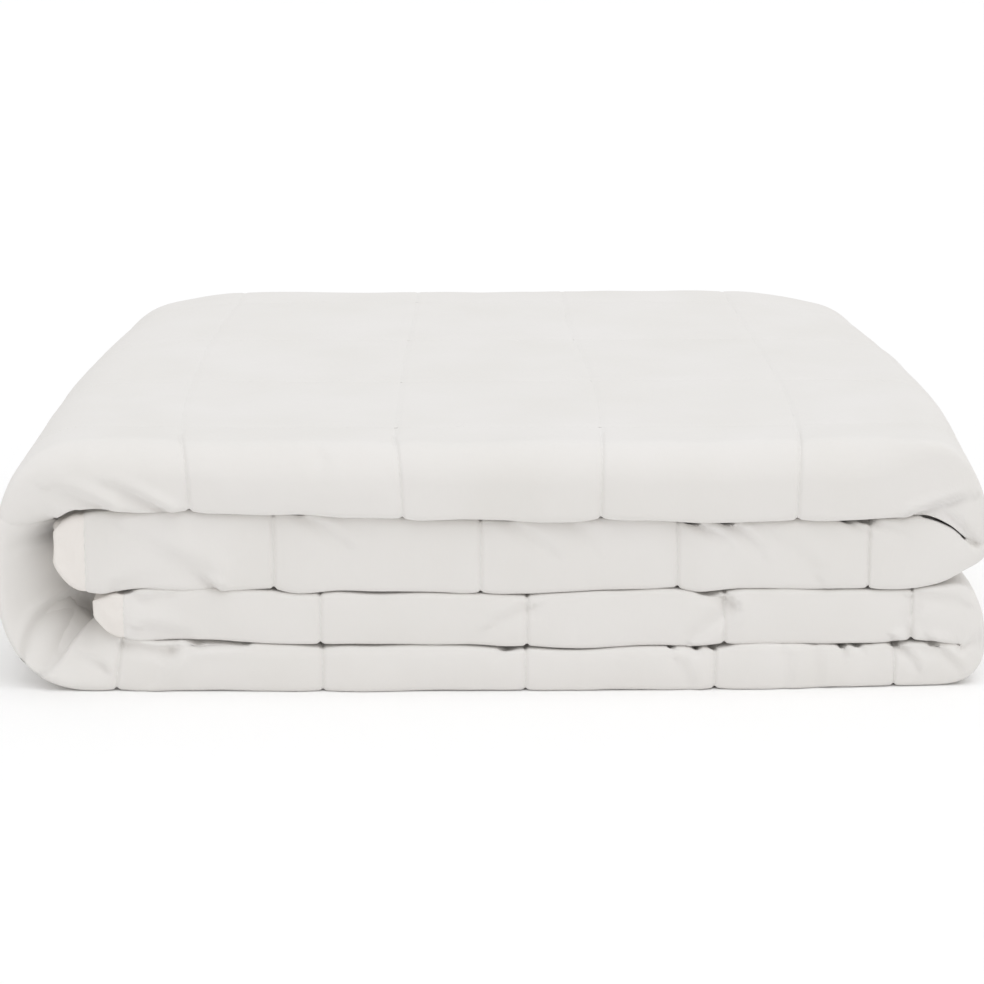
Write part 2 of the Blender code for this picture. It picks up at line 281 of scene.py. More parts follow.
SLANT = 0.27  # they were placed looking down this steeply, so what lies behind counts as higher
TUCK_FULL = 0.22  # a tuck keeps its depth this far from the middle of the nose, in squares
TUCK_REACH = 0.34  # and has died down here
TUCK_ENDS = 0.08  # they die down over this much beside the places where they end
RIDGE_AWAY, RIDGE_WIDTH = 2, 1.4  # the fold beside a tuck, in widths of the tuck

# Where the lines of the meshes lie closer or wider
CREASED = (5.07, 5.50)  # sharp creases cross the upper right turn here
TOP_LINES = (4.5, 11.2)  # along the quilt, the top band and the turns beside it lie between these
NOSE_LINES = (2.95, 3.86, 7.45)  # across it, the nose lies between these, then the band's top

# The fine forms of the outer cover, in millimetres
FORMS_FROM = (2.9, 0.3)  # they start at this place across the quilt, over this much of a square
FORMS_TO = (BACK_FOLD + 0.15, 0.1)
CROSS_SEAMS_FROM = 3.6
NO_SEAM = 50.0  # as far from a seam as cloth can be
FRONT_GROOVE, FLAT_GROOVE, GROOVE_WIDTH = 0.95, 0.4, 1.0
CROSS_GROOVE, CROSS_GROOVE_WIDTH = 0.16, 1.2
PUCKER, PUCKER_REACH = 0.45, 9
LONG_PUCKERS, CROSS_PUCKERS = (31, 11, 5), (29, 12, 6)  # spread away from the seam, size, seed
SWELLINGS = ((0.9, 55, 1), (0.55, 26, 2))  # height, size and seed
SWELLING_CLEAR = 12  # they start this far from a seam
CALMED_ON_TOP = 0.55
GRAIN = (0.2, 12, 3)  # the same for the finest lumps
WAVY_HEM = (1.0, 5, 8)  # and for the edges of the end hems
WAVY_HEM_START = 400  # along the quilt, so that it differs from the rest
CROWDED = (0.35, 0.6)  # cloth drawn together to this share has no fine forms; they grow over this

THREAD = 0.5 * MM
STITCH = 3.3 * MM  # spacing; a stitch shows for most of it
STITCH_SHARE = 0.78
STITCH_SIDES = 5
STITCH_RINGS = ((-1, 0.35), (0, 1), (1, 0.35))  # place along the stitch, share of the thickness
STITCH_END_SUNK = 0.35  # the ends lie this share of the thread deeper
LONG_STITCH_OUT, CROSS_STITCH_OUT = 0.2, -0.05  # share of the thread that stands out further

UNDYED_COTTON = "#E6E4E2"
COTTON_SHADE = "#E3E1DE"
# the end hems' colour, lighter and warmer than the cloth: a painted highlight for the light on
# their faces
HEM_PAINTED_HIGHLIGHT = "#EBE7E3"  # the end hems
THREAD_COLOUR = "#E6E5E2"
FLOOR_WHITE = "#FBFBFB"

# The studio: light from the walls and from the ceiling, which starts this far up
ROOM_LIGHT = 0.79
LOW_LIGHT = (0.90, 0.84, 0.765, 1)
HIGH_LIGHT = (0.985, 1.0, 1.02, 1)
HIGH_FROM = 0.75
FLOOR_HALF = 10

CAMERA_PLACE = (-0.0282, -2.0323, 0.6023)
CAMERA_DOWN, CAMERA_TURN = 15.048, -0.870  # degrees
CAMERA_LENS = 138.1


def mix(start, end, share):
    """From start to end, by a share."""
    return start + (end - start) * share


def curve(at, places, values):
    """A smooth line through a short table, level past its ends."""
    places, values = np.array(places, float), np.array(values, float)
    slopes = np.gradient(values, places)
    at = np.clip(at, places[0], places[-1])
    number = np.clip(np.searchsorted(places, at) - 1, 0, len(places) - 2)
    step = places[number + 1] - places[number]
    t = (at - places[number]) / step
    return (
        (2 * t**3 - 3 * t**2 + 1) * values[number]
        + (t**3 - 2 * t**2 + t) * step * slopes[number]
        + (3 * t**2 - 2 * t**3) * values[number + 1]
        + (t**3 - t**2) * step * slopes[number + 1]
    )


def ease(share):
    """From 0 to 1, level at both ends."""
    share = np.clip(share, 0, 1)
    return share * share * (3 - 2 * share)


def bell(distance, width):
    """From 1 at no distance to 0 a few widths away."""
    return np.exp(-((distance / width) ** 2))


def soft_noise(x, y, size, seed):
    """Smooth bumps of about this size, from -1 to 1."""
    cells = 97
    heights = np.random.default_rng(seed).uniform(-1, 1, (cells, cells))
    column, row = np.floor(x / size).astype(int), np.floor(y / size).astype(int)
    across, up = ease(x / size - column), ease(y / size - row)

    def corner(i, j):
        return heights[(column + i) % cells, (row + j) % cells]

    low = mix(corner(0, 0), corner(1, 0), across)
    high = mix(corner(0, 1), corner(1, 1), across)
    return mix(low, high, up)


# ---------------------------------------------------------------- the folds


def arc(share, squareness):
    """A half turn of a rounded form: how far out, and how far along from 1 to -1."""
    angle = math.pi * np.clip(share, 0, 1)
    out = np.abs(np.sin(angle)) ** (2 / squareness)
    along = np.sign(np.cos(angle)) * np.abs(np.cos(angle)) ** (2 / squareness)
    return out, along


def height(run, level):
    """Z of a level of the strip in a run."""
    return mix(run.low, run.high, (1 + run.up * level) / 2)


def fold_sides(fold, level):
    """X of a turn's tip, and of the line where the turn starts, at a level."""
    share = (1 + level) / 2
    tip = mix(fold.inner_tip, fold.outer_tip, share)
    rounding = mix(fold.inner_round, fold.outer_round, share)
    return tip, tip - np.sign(tip) * rounding


def lift(fold, x, level):
    """How far the cloth rises inside a turn, where it goes over the hemmed ends."""
    line = fold_sides(fold, -1)[1]
    away = np.minimum(np.abs(x - line) / LIFT_LENGTH, 1)
    return fold.lift * (1 - level) / 2 * np.cos(math.pi / 2 * away) ** 2


def fold_point(number, share, level):
    """(x, z) at a share of the way round a turn."""
    fold = FOLDS[number]
    before, after = height(RUNS[number], level), height(RUNS[number + 1], level)
    tip, start = fold_sides(fold, level)
    out, along = arc(share, fold.squareness)
    x = mix(start, tip, out)
    return x, mix(after, before, (1 + along) / 2) + lift(fold, x, level) * np.maximum(along, 0)


def fold_lengths(number):
    """Lengths of the flat lead-in, the turn and the flat lead-out, in the middle of the strip."""
    start = fold_sides(FOLDS[number], 0)[1]
    x, z = fold_point(number, np.linspace(0, 1, 61), 0)
    turn = np.hypot(np.diff(x), np.diff(z)).sum()
    return abs(start - RUNS[number].seams[-1]), turn, abs(start - RUNS[number + 1].seams[0])


LENGTHS = [fold_lengths(number) for number in range(len(FOLDS))]


def fold_knots(number):
    """Seam numbers, and how far along the fold each lies."""
    lead_in, turn, lead_out = LENGTHS[number]
    first, last = RUNS[number].first_seam + len(RUNS[number].seams) - 1, RUNS[number + 1].first_seam
    middle = [] if FOLDS[number].seam is None else [lead_in + turn * FOLDS[number].seam]
    return list(range(first, last + 1)), [0, *middle, lead_in + turn + lead_out]


def past_seams(place):
    """How far a place lies in an end hem: 0 at the last seam, 1 at the edge."""
    return np.maximum(np.maximum(-place, place - SQUARES_LONG), 0) / END_HEM


def in_run(run, place, level):
    """(x, z) of places that lie in a flat run."""
    seams = np.array(run.seams)
    places = run.first_seam + np.arange(len(seams))
    x = np.interp(place, places, seams)
    way = np.sign(seams[1] - seams[0])
    x = x - way * past_seams(place) * END_HEM * SQUARE * np.where(place < 0, 1, -1)
    return x, height(run, level)


def in_fold(number, place, level):
    """(x, z) of places between the last seam of a run and the first seam of the next."""
    lead_in, turn, lead_out = LENGTHS[number]
    places, knots = fold_knots(number)
    travelled = np.interp(place, places, knots)
    before, after = RUNS[number], RUNS[number + 1]
    start = fold_sides(FOLDS[number], level)[1]
    x_in = mix(before.seams[-1], start, travelled / lead_in)
    z_in = height(before, level) + lift(FOLDS[number], x_in, level)
    x_out = mix(start, after.seams[0], (travelled - lead_in - turn) / lead_out)
    x, z = fold_point(number, (travelled - lead_in) / turn, level)
    arriving, leaving = travelled < lead_in, travelled > lead_in + turn
    x = np.where(arriving, x_in, np.where(leaving, x_out, x))
    return x, np.where(arriving, z_in, np.where(leaving, height(after, level), z))


def along_fold(place, level):
    """(x, z) of places along the quilt, at levels of the strip."""
    for hem in HEM_ENDS:
        near = place < 0 if hem.seam == 0 else place > SQUARES_LONG
        share = np.where(near, past_seams(place), 0) ** HEM_ROUNDING
        level = level * (1 - hem.taper * share) + hem.raise_level * share
    x, z = in_run(RUNS[0], place, level)
    for number, run in enumerate(RUNS[1:]):
        last = RUNS[number].first_seam + len(RUNS[number].seams) - 1
        for reached, (next_x, next_z) in (
            (last, in_fold(number, place, level)),
            (run.first_seam, in_run(run, place, level)),
        ):
            x, z = np.where(place > reached, next_x, x), np.where(place > reached, next_z, z)
    return x, z


def nose_turn(share, along, across):
    """The front of the folded strip: flat, with round corners. Gives what arc() gives."""
    first, last = TOP_BAND
    in_top_band = ease((along - first) / TOP_BAND_BLEND) * ease((last - along) / TOP_BAND_BLEND)
    corner = np.where(across > OUTER_NOSE, mix(NOSE_CORNER, TOP_CORNER, in_top_band), NOSE_CORNER)
    side = 1 - corner
    travelled = (1 - np.abs(2 * np.clip(share, 0, 1) - 1)) * (2 * side + math.pi / 2 * corner)
    angle = np.clip((travelled - side) / corner, 0, math.pi / 2)
    down = np.maximum(travelled - side - math.pi / 2 * corner, 0)
    out = np.minimum(travelled, side) + corner * np.sin(angle)
    over = 1 - corner * (1 - np.cos(angle)) - down
    return out * (1 - NOSE_BULGE * over**2), over * np.sign(0.5 - share)


def across_fold(along, place, side):
    """(y, level in the strip) of places across the quilt, on side 1 or -1 of the sheet's middle."""
    thick = SHEET_THICK / 2 * side
    turns = (
        (OUTER_NOSE, NOSE_TURN, FRONT, -NOSE_REACH, 0, -(OUTER_SHEET + thick)),
        (BACK_FOLD, SMALL_TURN, BACK, BACK_REACH, (OUTER_SHEET + INNER_SHEET) / 2,
         (OUTER_SHEET - INNER_SHEET) / 2 + thick),
        (INNER_NOSE, SMALL_TURN, FRONT, -NOSE_REACH, 0, INNER_SHEET - thick),
    )  # fmt: skip
    line, line_place = FIRST_EDGE, -SIDE_HEM
    level = -(OUTER_SHEET + thick)
    y = np.full_like(place, line)
    for middle, half, at, reach, centre, radius in turns:
        flat = place >= line_place
        y = np.where(flat, mix(line, at, (place - line_place) / (middle - half - line_place)), y)
        share = (place - middle + half) / (2 * half)
        out, way = nose_turn(share, along, place) if middle == OUTER_NOSE else arc(share, 2)
        turning = place > middle - half
        y = np.where(turning, at + np.abs(radius) * reach * out, y)
        level = np.where(turning, centre + radius * way, level)
        line, line_place = at, middle + half
    last = place > line_place
    share = (place - line_place) / (SQUARES_WIDE + SIDE_HEM - line_place)
    return np.where(last, mix(line, LAST_EDGE, share), y), level


def crown(place, last_seam, hem, at_seam, at_end):
    """Share of the full thickness: low at a seam and at the hem, full on the square."""
    seam = np.clip(np.round(place), 0, last_seam)
    away = np.minimum(np.abs(place - seam) / SHOULDER, 1)
    share = np.where((seam == 0) | (seam == last_seam), at_end, at_seam)
    swollen = mix(share, 1, 1 - (1 - away) ** SWELL)
    past = np.maximum(-place, place - last_seam) / hem
    return np.where(past > 0, mix(at_end, HEM_SHARE, ease(past)), swollen)


def flatness(place, across):
    """From 0 at the noses to 1 behind them, and 1 on the outer side of the left bend."""
    behind = ease((across - OUTER_NOSE - FLAT_FROM) / FLAT_BLEND)
    round_bend = ease((across - OUTER_NOSE + BEND_BLEND) / BEND_BLEND)
    round_bend = round_bend * (np.abs(place - BEND_SEAM) < 0.5)
    return np.maximum(behind, round_bend) * (across < INNER_NOSE)


def crease_shift(x, y, z):
    """How far the creases between the bands lift or lower the cloth round them."""
    heights = [0, *(middle for middle, _ in CREASES), TOP]
    shift = np.zeros_like(z)
    for number, (middle, offsets) in enumerate(CREASES, start=1):
        below, above = heights[number - 1], heights[number + 1]
        rising, falling = (z / MM - below) / (middle - below), (above - z / MM) / (above - middle)
        share = np.clip(np.minimum(rising, falling), 0, 1)
        shift = shift + share * curve(x / MM, CREASE_PLACES, offsets)
    return shift * MM * (1 - ease((y - FRONT) / CREASE_DEPTH))


def wander(place, across, depth):
    """How far the seams of the top band stray along X."""
    shift = np.zeros_like(depth)
    for seam, offsets in WANDERS:
        near = np.maximum(1 - np.abs(place - seam), 0)
        shift = shift + near * curve(depth, WANDER_DEPTHS, offsets)
    shown = ease((across - OUTER_NOSE + WANDER_FROM) / WANDER_BLEND) * (across < BACK_FOLD)
    return shift * MM * shown


def bend_filling(place, level, x, y, z):
    """The inner side of the left bend crumples into the hollow beside the hemmed ends."""
    inner = np.clip((BEND_EDGE - level) / (1 + BEND_EDGE), 0, 1)
    front = 1 - ease((y - FRONT) / BEND_DEPTH)
    places, *columns = zip(*BEND_FILLING)
    right, up, back = (curve(place, places, column) * MM * front for column in columns)
    push = inner**BEND_PUSH
    return x + push * right, y + inner**BEND_BACK * back, z + push * up


def settle(x, y, z):
    """The bundle sinks and draws in towards the back, and its front bows."""
    depth = np.clip((y - FRONT) / (BACK - FRONT), 0, 1)
    places, *columns = zip(*STATIONS)
    drop_left, drop_right, draw_left, draw_right = (curve(depth, places, row) for row in columns)
    left = x < 0
    near_end = np.maximum(0, (np.abs(x) - END + DROP_LENGTH) / DROP_LENGTH)
    fall = np.where(left, drop_left, drop_right) * near_end**2 * z / (TOP * MM)
    drawn = 1 - np.where(left, draw_left, draw_right) / END
    return x * drawn, y + BOW * (x / END) ** 2 * (1 - depth), z - fall


def folded(place, across, side):
    """The points of the bundle for places on the flat quilt, before its fine forms."""
    at_seam = mix(SEAM_SHARE, FLAT_SHARE, flatness(place, across))
    long_swell = crown(place, SQUARES_LONG, END_HEM, at_seam, END_SEAM_SHARE)
    quilted = (across > OUTER_NOSE) & (across < BACK_FOLD)
    quilted |= (across < SHOULDER) | (across > SQUARES_WIDE - SHOULDER)
    cross_swell = crown(across, SQUARES_WIDE, SIDE_HEM, FLAT_SHARE, SEAM_SHARE)
    swell = np.minimum(long_swell, np.where(quilted, cross_swell, 1))
    y, level = across_fold(place, across, side * swell)
    x, z = along_fold(place, level)
    x = x + wander(place, across, np.clip((y - FRONT) / (BACK - FRONT), 0, 1))
    y = y + curve(place, *zip(*RECESS)) * MM * (1 - ease((y - FRONT) / RECESS_DEPTH))
    x, y, z = bend_filling(place, level, x, y, z)
    z = z + crease_shift(x, y, z)
    x, y, z = settle(x, y, z)
    return np.stack((x, y, np.maximum(z, 0)), axis=-1)


# ---------------------------------------------------------------- the fine forms of the outer cover


def smooth_line(points):
    """The points of a line with more between them, so that it bends softly."""
    points = np.array(points, float)
    if len(points) < 3:
        return points
    reached = np.append(0, np.cumsum(np.hypot(*np.diff(points, axis=0).T)))
    finer = np.linspace(0, reached[-1], 4 * len(points) - 3)
    return np.stack([curve(finer, reached, column) for column in points.T], axis=-1)


def tuck_depth(tuck, place, across, x, z):
    """How far a tuck draws the cloth in, and how far the fold beside it stands out, in mm."""
    near, share, aside = np.full_like(x, np.inf), np.zeros_like(x), np.zeros_like(x)
    points = smooth_line(tuck.line)
    lengths = np.hypot(*np.diff(points, axis=0).T)
    for number, (start, end) in enumerate(zip(points, points[1:])):
        way = (end - start) / lengths[number]
        along = (x - start[0]) * way[0] + (z - start[1]) * way[1]
        along = np.clip(along, 0, lengths[number])
        over_x, over_z = x - start[0] - along * way[0], z - start[1] - along * way[1]
        distance = np.hypot(over_x, over_z)
        left = np.sign(way[0] * over_z - way[1] * over_x)
        nearest = distance < near
        near = np.where(nearest, distance, near)
        reached = (lengths[:number].sum() + along) / lengths.sum()
        share = np.where(nearest, reached, share)
        aside = np.where(nearest, left * distance, aside)
    softness = np.where(aside * tuck.ridge < 0, tuck.soft, 1)
    valley = bell(near, tuck.width * softness)
    crest = RIDGE_AWAY * tuck.width * np.sign(tuck.ridge)
    beside = abs(tuck.ridge) * bell(aside - crest, RIDGE_WIDTH * tuck.width)
    past_full = np.abs(across - OUTER_NOSE) - TUCK_FULL
    on_nose = 1 - ease(past_full / (TUCK_REACH - TUCK_FULL))
    first, last = tuck.squares
    in_squares = ease((place - first) / TUCK_ENDS) * ease((last - place) / TUCK_ENDS)
    depth = mix(*tuck.depths, share) * on_nose * in_squares
    return depth * valley, depth * beside


def from_seam(place, last_seam):
    """Distance on the cloth to the nearest seam, in millimetres."""
    return np.abs(place - np.clip(np.round(place), 0, last_seam)) * SQUARE / MM


def fine_forms(place, across, evenness):
    """How far the outer cover stands out from its plain folds, in millimetres."""
    s, t = place * SQUARE / MM, across * SQUARE / MM
    (first, growing), (last, fading) = FORMS_FROM, FORMS_TO
    shown = ease((across - first) / growing) * ease((last - across) / fading)
    long_seam = from_seam(place, SQUARES_LONG)
    cross_seam = np.where(
        (across > CROSS_SEAMS_FROM) & (across < BACK_FOLD), from_seam(across, SQUARES_WIDE), NO_SEAM
    )
    flat = flatness(place, across)
    end_seam = (place < 0.5) | (place > SQUARES_LONG - 0.5)
    groove = np.where(end_seam, FLAT_GROOVE, mix(FRONT_GROOVE, FLAT_GROOVE, flat))
    out = -groove * bell(long_seam, GROOVE_WIDTH)
    out = out - CROSS_GROOVE * bell(cross_seam, CROSS_GROOVE_WIDTH)
    # puckers beside the stitches, drawn out away from the seam
    away, size, seed = LONG_PUCKERS
    gather = soft_noise(t, place * away, size, seed) * np.exp(-long_seam / PUCKER_REACH)
    away, size, seed = CROSS_PUCKERS
    gather = gather + soft_noise(s, across * away, size, seed) * np.exp(-cross_seam / PUCKER_REACH)
    out = out + PUCKER * gather * evenness
    # beads and wadding under the cloth, from broad to fine
    clear = 1 - bell(np.minimum(long_seam, cross_seam), SWELLING_CLEAR)
    calm = (1 - CALMED_ON_TOP * flat) * evenness
    for high, size, seed in SWELLINGS:
        out = out + high * soft_noise(s, t, size, seed) * clear * calm
    high, size, seed = GRAIN
    out = out + high * soft_noise(s, t, size, seed) * calm
    # the wavy edge of the end hems
    high, size, seed = WAVY_HEM
    wave = high * soft_noise(s + WAVY_HEM_START, t, size, seed)
    out = out + np.where(past_seams(place) > 0, wave, 0)
    return out * shown


def outward(place, across, side):
    """The points, the directions that stand out from the cloth, and how spread the cloth is."""
    step = 0.004  # in squares
    here = folded(place, across, side)
    along = folded(place + step, across, side) - folded(place - step, across, side)
    over = folded(place, across + step, side) - folded(place, across - step, side)
    facing = np.cross(over, along)
    length = np.linalg.norm(facing, axis=-1, keepdims=True)
    spread = np.linalg.norm(along, axis=-1) / (2 * step * SQUARE)
    return here, facing / np.maximum(length, 1e-12), spread


def outer_cover_points(place, across, side):
    """The points of the outer cover, with its fine forms and its tucks."""
    here, facing, spread = outward(place, across, side)
    x, z = here[..., 0] / MM, (here[..., 2] + SLANT * (here[..., 1] - NOSE_FACE)) / MM
    bare, growing = CROWDED
    drawn_in, stood_out = np.zeros_like(x), np.zeros_like(x)
    for tuck in TUCKS:
        valley, beside = tuck_depth(tuck, place, across, x, z)
        drawn_in, stood_out = drawn_in + valley, stood_out + beside
    forms = fine_forms(place, across, ease((spread - bare) / growing))
    back, down = facing[..., 1], np.maximum(facing[..., 2], 0)
    tucked = np.stack((0 * x, (stood_out - drawn_in) * back, -drawn_in * down), axis=-1)
    points = here + (facing * forms[..., None] + tucked) * MM
    points[..., 2] = np.maximum(points[..., 2], 0)  # the floor presses the underside flat
    return points


# ---------------------------------------------------------------- meshes


def new_piece(name, vertices, faces, material):
    """A smoothly shaded mesh in the scene."""
    data = bpy.data.meshes.new(name)
    data.from_pydata(vertices, [], faces)
    data.materials.append(material)
    data.shade_smooth()
    piece = bpy.data.objects.new(name, data)
    bpy.context.scene.collection.objects.link(piece)
    return piece


def spaced(first, last, stride):
    """Every few numbers of a range, and always its last."""
    return [*range(first, last, stride), last]


def patchwork(patches, size):
    """Faces over a grid whose patches have lines at their own spacing, joined with no gap."""
    used = np.zeros(size, bool)
    for columns, rows in patches:
        used[np.ix_(columns, rows)] = True
    number = np.cumsum(used).reshape(size) - 1
    faces = []
    for columns, rows in patches:
        for a, b in zip(columns, columns[1:]):
            for c, d in zip(rows, rows[1:]):
                rim = [(i, c) for i in range(a, b)] + [(b, j) for j in range(c, d)]
                rim += [(i, d) for i in range(b, a, -1)] + [(a, j) for j in range(d, c, -1)]
                faces.append([int(number[corner]) for corner in rim if used[corner]])
    return used, faces


def cloth_piece(name, columns, rows, patches, shape, material):
    """A grid of cloth over (place, side) lines, with its flat places as UVs in metres."""
    (place, side_along), (across, side_across) = np.array(columns).T, np.array(rows).T
    place, across = np.meshgrid(place, across, indexing="ij")
    side = np.minimum(side_along[:, None], side_across[None, :])
    used, faces = patchwork(patches, place.shape)
    place, across, side = place[used], across[used], side[used]
    piece = new_piece(name, shape(place, across, side).tolist(), faces, material)
    loops = np.empty(len(piece.data.loops), int)
    piece.data.loops.foreach_get("vertex_index", loops)
    flat = np.stack((place, across), axis=-1)[loops] * SQUARE
    piece.data.uv_layers.new(name="flat cloth").data.foreach_set("uv", flat.reshape(-1))
    return piece


def square_lines(distances):
    """Places in one square, given as distances from its seam in millimetres, to both sides."""
    half = [d * MM / SQUARE for d in distances]
    return half + [1 - d for d in reversed(half[1:-1])]


def rolled_edge(edge, lip):
    """The turned-in edge of a cover: from its inner lip round to the outer face."""
    roll = 0.016
    turns = np.linspace(0, math.pi, 9)
    return [(edge + lip, -1.0)] + [(edge + roll - roll * math.sin(a), -math.cos(a)) for a in turns]


def to_both_ends(start, middle, length):
    """The lines of one end, those between, and the same end mirrored."""
    return start + middle + [(length - place, side) for place, side in reversed(start)]


def outer_columns():
    """The lines of the outer cover along the quilt, close beside the seams."""
    fine = square_lines((0, 0.5, 1.1, 1.9, 2.9, 4.2, *range(6, 52, 2)))
    places = [seam + d for seam in range(SQUARES_LONG) for d in fine]
    places += [(a + b) / 2 for a, b in zip(places, places[1:]) if CREASED[0] < a < CREASED[1]]
    inner = [(place, 1.0) for place in sorted(places)] + [(SQUARES_LONG, 1.0)]
    hem = [(-END_HEM + d, 1.0) for d in (0.03, 0.05, 0.075, 0.10, 0.125, 0.145)]
    return to_both_ends(rolled_edge(-END_HEM, 0.05) + hem, inner, SQUARES_LONG)


def outer_rows():
    """The lines of the outer cover across the quilt, closest on the front."""
    face = NOSE_TURN + 0.01
    turn = np.linspace(-0.08, 0.08, 11)
    small_turn = np.linspace(-0.08, 0.08, 7)
    fine = square_lines((0, 0.8, 1.8, 3.5, 6, 10, 15, 21, 28, 35, 42, 50))
    top = [seam + d for seam in (3, 4, 5, 6, 7) for d in fine]
    places = [
        0.0, 0.4, 0.9, 1.5, 2.1, 2.6, 2.9, 3.05,  # the first sheet, inside the bundle
        *np.arange(3.13, OUTER_NOSE - face, 0.03),
        *np.arange(OUTER_NOSE - face, OUTER_NOSE + face, 0.0105),  # the front
        *np.arange(OUTER_NOSE + face + 0.006, OUTER_NOSE + 0.30, 0.018),
        *(place for place in top if OUTER_NOSE + 0.31 < place < BACK_FOLD - 0.09),
        *(BACK_FOLD + turn),
        7.6, 8.0, 8.6, 9.3, 10.0, 10.6, 10.95,
        *(INNER_NOSE + small_turn),
        11.5, 12.2, 13.0, 13.8, 14.4, 14.8, 15.0,
    ]  # fmt: skip
    body = [(place, 1.0) for place in places]
    return to_both_ends(rolled_edge(-SIDE_HEM, 0.04), body, SQUARES_WIDE)


def outer_patches(columns, rows):
    """Close lines where the front shows, wider ones on top, and the widest inside the bundle."""
    places, overs = [place for place, _ in columns], [over for over, _ in rows]

    def at(values, value):
        return int(np.argmin(np.abs(np.array(values) - value)))

    hem, edge = at(places, 0.0), len(rolled_edge(0, 0)) - 1
    last_column, last_row = len(places) - 1, len(overs) - 1
    shown_along = [at(places, place) for place in TOP_LINES]
    shown_over = [at(overs, over) for over in NOSE_LINES]
    column_cuts = [0, hem, *shown_along, last_column - hem, last_column]
    row_cuts = [0, edge, *shown_over, last_row - edge, last_row]
    patches = []
    for c, (a, b) in enumerate(zip(column_cuts, column_cuts[1:])):
        for r, (low, high) in enumerate(zip(row_cuts, row_cuts[1:])):
            nose, top = r == 2, r == 3 and c == 2
            wide = 1 if nose or c in (0, 4) else 2 if top else 4
            deep = 1 if nose or top or r in (0, 5) else 3
            patches.append((spaced(a, b, wide), spaced(low, high, deep)))
    return patches


def whole(columns, rows):
    """One patch over all lines."""
    return [(range(len(columns)), range(len(rows)))]


def inner_columns():
    """The lines of the inner cover along the quilt."""
    fine = square_lines((0, 6, 15, 30, 50))
    body = [seam + d for seam in range(SQUARES_LONG) for d in fine]
    places = [INNER_INSET - END_HEM, *body, SQUARES_LONG, SQUARES_LONG + END_HEM - INNER_INSET]
    return [(place, INNER_SIDE) for place in places]


def inner_rows():
    """The lines of the inner cover across the quilt."""
    nose, turn = np.linspace(-0.22, 0.22, 12), np.linspace(-0.08, 0.08, 7)
    places = [
        INNER_INSET - SIDE_HEM, 0, 0.5, 1.2, 2, 2.7, *(OUTER_NOSE + nose), 4, 4.6, 5.3, 6, 6.7,
        *(BACK_FOLD + turn), 8, 9, 10, 10.8, *(INNER_NOSE + turn), 12, 13, 14, 15,
        SQUARES_WIDE + SIDE_HEM - INNER_INSET,
    ]  # fmt: skip
    return [(place, INNER_SIDE) for place in places]


def stitch_lines():
    """The two ends of every stitch that shows, as (place, across, place, across)."""
    half, step = STITCH * STITCH_SHARE / 2 / SQUARE, STITCH / SQUARE
    ends = []
    over = np.arange(OUTER_NOSE - 0.32, BACK_FOLD + 0.05, step)
    for seam in range(SQUARES_LONG + 1):
        line = np.full_like(over, seam)
        ends.append(np.stack((line, over - half, line, over + half), axis=-1))
    along = np.arange(0.3 * step, SQUARES_LONG, step)
    for seam in range(math.ceil(OUTER_NOSE), math.ceil(BACK_FOLD)):
        line = np.full_like(along, seam)
        ends.append(np.stack((along - half, line, along + half, line), axis=-1))
    return np.concatenate(ends)


def stitches(material):
    """Every stitch as a short spindle of thread, all in one mesh."""
    place_1, across_1, place_2, across_2 = stitch_lines().T
    one = np.ones_like(place_1)
    facing = outward((place_1 + place_2) / 2, (across_1 + across_2) / 2, one)[1]
    start = outer_cover_points(place_1, across_1, one)
    end = outer_cover_points(place_2, across_2, one)
    way = (end - start) / 2
    aside = np.cross(facing, way)
    aside /= np.linalg.norm(aside, axis=-1, keepdims=True)
    out = np.where(across_1 == across_2, CROSS_STITCH_OUT, LONG_STITCH_OUT)[:, None]
    centre = (start + end) / 2 + facing * THREAD * out
    rings = []
    for share, thick in STITCH_RINGS:
        middle = centre + way * share - facing * THREAD * STITCH_END_SUNK * abs(share)
        for corner in range(STITCH_SIDES):
            angle = math.tau * corner / STITCH_SIDES
            radial = aside * math.cos(angle) + facing * math.sin(angle)
            rings.append(middle + radial * THREAD / 2 * thick)
    points = np.stack(rings, axis=1).reshape(-1, 3)
    points[:, 2] = np.maximum(points[:, 2], 0)
    ring = range(STITCH_SIDES)
    here = [[number * STITCH_SIDES + c for c in ring] for number in range(len(STITCH_RINGS))]
    faces = [
        (low[c], low[(c + 1) % STITCH_SIDES], high[(c + 1) % STITCH_SIDES], high[c])
        for low, high in zip(here, here[1:])
        for c in ring
    ]
    faces += [tuple(reversed(here[0])), tuple(here[-1])]
    firsts = range(0, len(points), len(rings))
    all_faces = [tuple(first + corner for corner in face) for first in firsts for face in faces]
    return new_piece("stitches", points.tolist(), all_faces, material)


# ---------------------------------------------------------------- materials


def linear(hex_colour):
    """An sRGB hex colour as linear RGBA."""
    values = [int(hex_colour[i : i + 2], 16) / 255 for i in (1, 3, 5)]
    return [v / 12.92 if v <= 0.04045 else ((v + 0.055) / 1.055) ** 2.4 for v in values] + [1]


def node(material, kind, settings=None, **links):
    """Adds a node with its inputs and settings, and links what comes from other nodes."""
    made = material.node_tree.nodes.new(kind)
    for name, value in (settings or {}).items():
        if isinstance(name, int) or name in made.inputs:
            made.inputs[name].default_value = value
        else:
            setattr(made, name, value)
    for name, output in links.items():
        material.node_tree.links.new(output, made.inputs[name.replace("_", " ")])
    return made


def new_material(name):
    """A material and its main shader."""
    material = bpy.data.materials.new(name)
    material.use_nodes = True
    return material, material.node_tree.nodes["Principled BSDF"]


